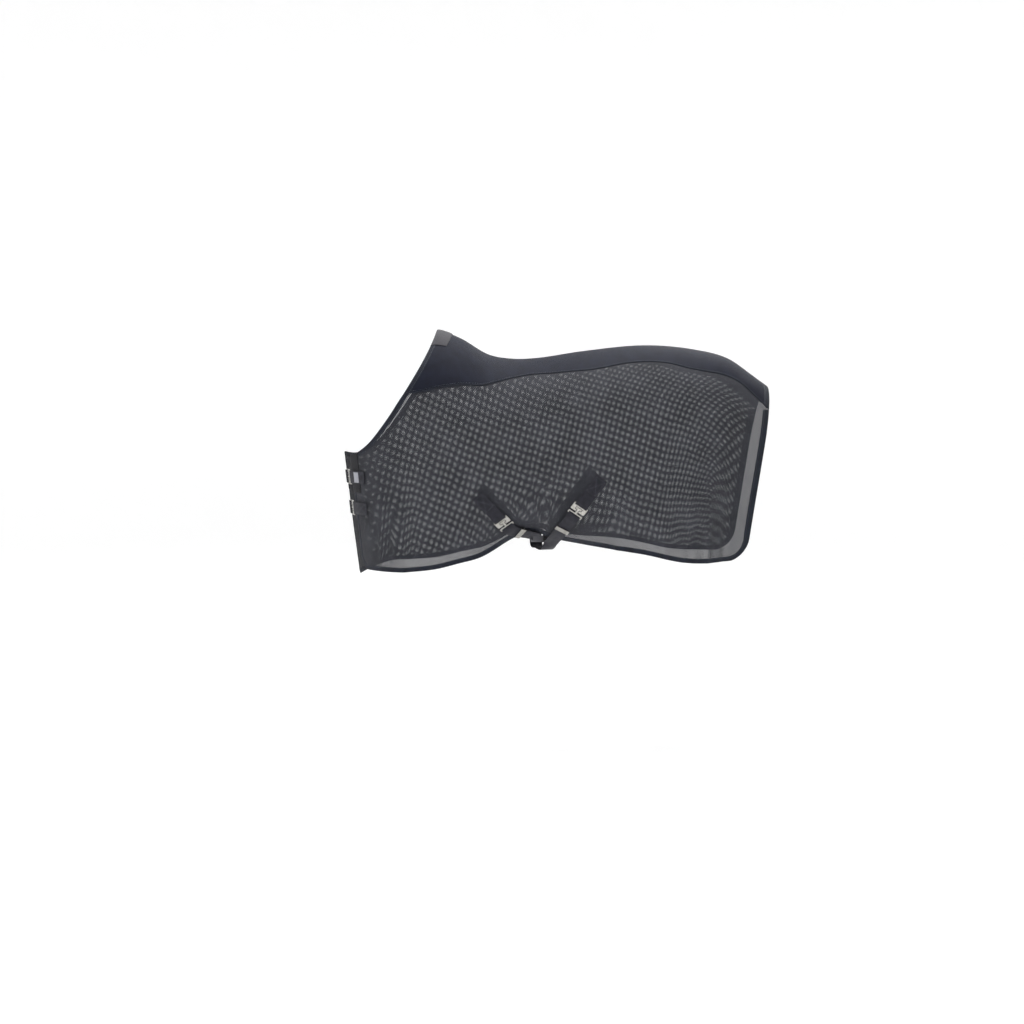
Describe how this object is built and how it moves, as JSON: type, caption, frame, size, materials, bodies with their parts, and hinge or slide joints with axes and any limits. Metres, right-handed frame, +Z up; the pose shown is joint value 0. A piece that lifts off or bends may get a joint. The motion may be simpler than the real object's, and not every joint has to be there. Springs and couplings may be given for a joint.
{
  "type": "horse fly sheet",
  "caption": "Mesh fly sheet for a horse with a stretch topline panel, bound edges, front flaps with buckled chest straps and crossed belly straps.",
  "frame": {"origin": "point of the withers that carries the sheet, at the underside of the fleece pad", "axes": "+X towards the tail, +Y towards the horse's right, +Z up; the horse faces -X"},
  "size_m": [1.6842, 0.6638, 0.9765],
  "materials": {
    "mesh": "knitted polyester mesh, matt",
    "stretch": "smooth stretch fabric with a soft sheen",
    "binding_tape": "woven binding tape",
    "fleece": "short-pile fleece",
    "webbing": "flat woven webbing",
    "reinforcement": "plain woven cloth",
    "label": "woven satin label",
    "nickel_steel": "bright nickel plate"
  },
  "bodies": {
    "sheet": {"topline_panel": "stretch", "withers_binding": "binding_tape", "dock_binding": "binding_tape", "withers_pad": "fleece", "withers_patch": "fleece", "side_mesh_left": "mesh", "seam_piping_left": "binding_tape", "hem_binding_left": "binding_tape", "rear_binding_left": "binding_tape", "side_mesh_right": "mesh", "seam_piping_right": "binding_tape", "hem_binding_right": "binding_tape", "rear_binding_right": "binding_tape", "surcingle_tab_front": "webbing", "surcingle_front": "webbing", "surcingle_tab_rear": "webbing", "surcingle_rear": "webbing"},
    "left_flap": {"front_mesh_left": "mesh", "neck_binding_left": "binding_tape", "front_binding_left": "binding_tape", "flap_hem_binding_left": "binding_tape", "chest_reinforcement_left": "reinforcement", "chest_tab_upper": "webbing", "chest_tab_lower": "webbing", "size_label": "label"},
    "right_flap": {"front_mesh_right": "mesh", "neck_binding_right": "binding_tape", "front_binding_right": "binding_tape", "flap_hem_binding_right": "binding_tape", "chest_reinforcement_right": "reinforcement", "chest_strap_base_upper": "webbing", "chest_strap_base_lower": "webbing"},
    "chest_upper_strap": {"chest_strap_upper": "webbing"},
    "chest_upper_eye": {"chest_upper_eye": "nickel_steel"},
    "chest_upper_hook": {"chest_upper_hook": "nickel_steel"},
    "chest_lower_strap": {"chest_strap_lower": "webbing"},
    "chest_lower_eye": {"chest_lower_eye": "nickel_steel"},
    "chest_lower_hook": {"chest_lower_hook": "nickel_steel"},
    "surcingle_front_strap_end": {"surcingle_end_front": "webbing"},
    "surcingle_front_eye": {"surcingle_front_eye": "nickel_steel"},
    "surcingle_front_hook": {"surcingle_front_hook": "nickel_steel"},
    "surcingle_front_slider": {"slider_front": "nickel_steel"},
    "surcingle_rear_strap_end": {"surcingle_end_rear": "webbing"},
    "surcingle_rear_eye": {"surcingle_rear_eye": "nickel_steel"},
    "surcingle_rear_hook": {"surcingle_rear_hook": "nickel_steel"},
    "surcingle_rear_slider": {"slider_rear": "nickel_steel"}
  },
  "joints": [
    {"name": "left_flap_open", "type": "hinge", "parent": "sheet", "child": "left_flap", "pos_m": [-0.118, -0.266, -0.6], "axis": [0, 0, 1], "range_deg": [0, 75]},
    {"name": "right_flap_open", "type": "hinge", "parent": "sheet", "child": "right_flap", "pos_m": [-0.118, 0.266, -0.6], "axis": [0, 0, -1], "range_deg": [0, 75]},
    {"name": "chest_upper_strap_fold", "type": "hinge", "parent": "right_flap", "child": "chest_upper_strap", "pos_m": [-0.36668, -0.00852, -0.56674], "axis": [0.1182, 0.012, -0.9929], "range_deg": [0, 100]},
    {"name": "chest_upper_eye_swivel", "type": "hinge", "parent": "left_flap", "child": "chest_upper_eye", "pos_m": [-0.33796, -0.09518, -0.56608], "axis": [-0.0926, -0.0326, 0.9952], "range_deg": [0, 40]},
    {"name": "chest_upper_hook_swivel", "type": "hinge", "parent": "chest_upper_strap", "child": "chest_upper_hook", "pos_m": [-0.35477, -0.04873, -0.56612], "axis": [0.0926, 0.0326, -0.9952], "range_deg": [0, 40]},
    {"name": "chest_lower_strap_fold", "type": "hinge", "parent": "right_flap", "child": "chest_lower_strap", "pos_m": [-0.35206, -0.00849, -0.68874], "axis": [0.1183, 0.0109, -0.9929], "range_deg": [0, 100]},
    {"name": "chest_lower_eye_swivel", "type": "hinge", "parent": "left_flap", "child": "chest_lower_eye", "pos_m": [-0.32479, -0.09512, -0.68808], "axis": [-0.0941, -0.0312, 0.9951], "range_deg": [0, 40]},
    {"name": "chest_lower_hook_swivel", "type": "hinge", "parent": "chest_lower_strap", "child": "chest_lower_hook", "pos_m": [-0.34069, -0.04835, -0.68812], "axis": [0.0941, 0.0312, -0.9951], "range_deg": [0, 40]},
    {"name": "surcingle_front_strap_fold", "type": "hinge", "parent": "sheet", "child": "surcingle_front_strap_end", "pos_m": [0.36636, -0.18858, -0.78996], "axis": [0.5084, -0.6673, 0.5443], "range_deg": [0, 120]},
    {"name": "surcingle_front_eye_swivel", "type": "hinge", "parent": "sheet", "child": "surcingle_front_eye", "pos_m": [0.24988, -0.27257, -0.72237], "axis": [-0.7854, 0.1955, -0.5873], "range_deg": [0, 40]},
    {"name": "surcingle_front_hook_swivel", "type": "hinge", "parent": "surcingle_front_strap_end", "child": "surcingle_front_hook", "pos_m": [0.279, -0.24659, -0.75266], "axis": [0.7854, -0.1955, 0.5873], "range_deg": [0, 40]},
    {"name": "surcingle_front_slider_slide", "type": "slide", "parent": "surcingle_front_strap_end", "child": "surcingle_front_slider", "axis": [0.8389, 0.4974, -0.2209], "range_m": [-0.006, 0.006]},
    {"name": "surcingle_rear_strap_fold", "type": "hinge", "parent": "sheet", "child": "surcingle_rear_strap_end", "pos_m": [0.45385, -0.15939, -0.81533], "axis": [0.9197, 0.1626, -0.3575], "range_deg": [0, 120]},
    {"name": "surcingle_rear_eye_swivel", "type": "hinge", "parent": "sheet", "child": "surcingle_rear_eye", "pos_m": [0.55977, -0.32277, -0.6663], "axis": [-0.8243, -0.0693, 0.5618], "range_deg": [0, 40]},
    {"name": "surcingle_rear_hook_swivel", "type": "hinge", "parent": "surcingle_rear_strap_end", "child": "surcingle_rear_hook", "pos_m": [0.53329, -0.30229, -0.70263], "axis": [0.8243, 0.0693, -0.5618], "range_deg": [0, 40]},
    {"name": "surcingle_rear_slider_slide", "type": "slide", "parent": "surcingle_rear_strap_end", "child": "surcingle_rear_slider", "axis": [-0.388, 0.7411, -0.5479], "range_m": [-0.006, 0.006]}
  ]
}
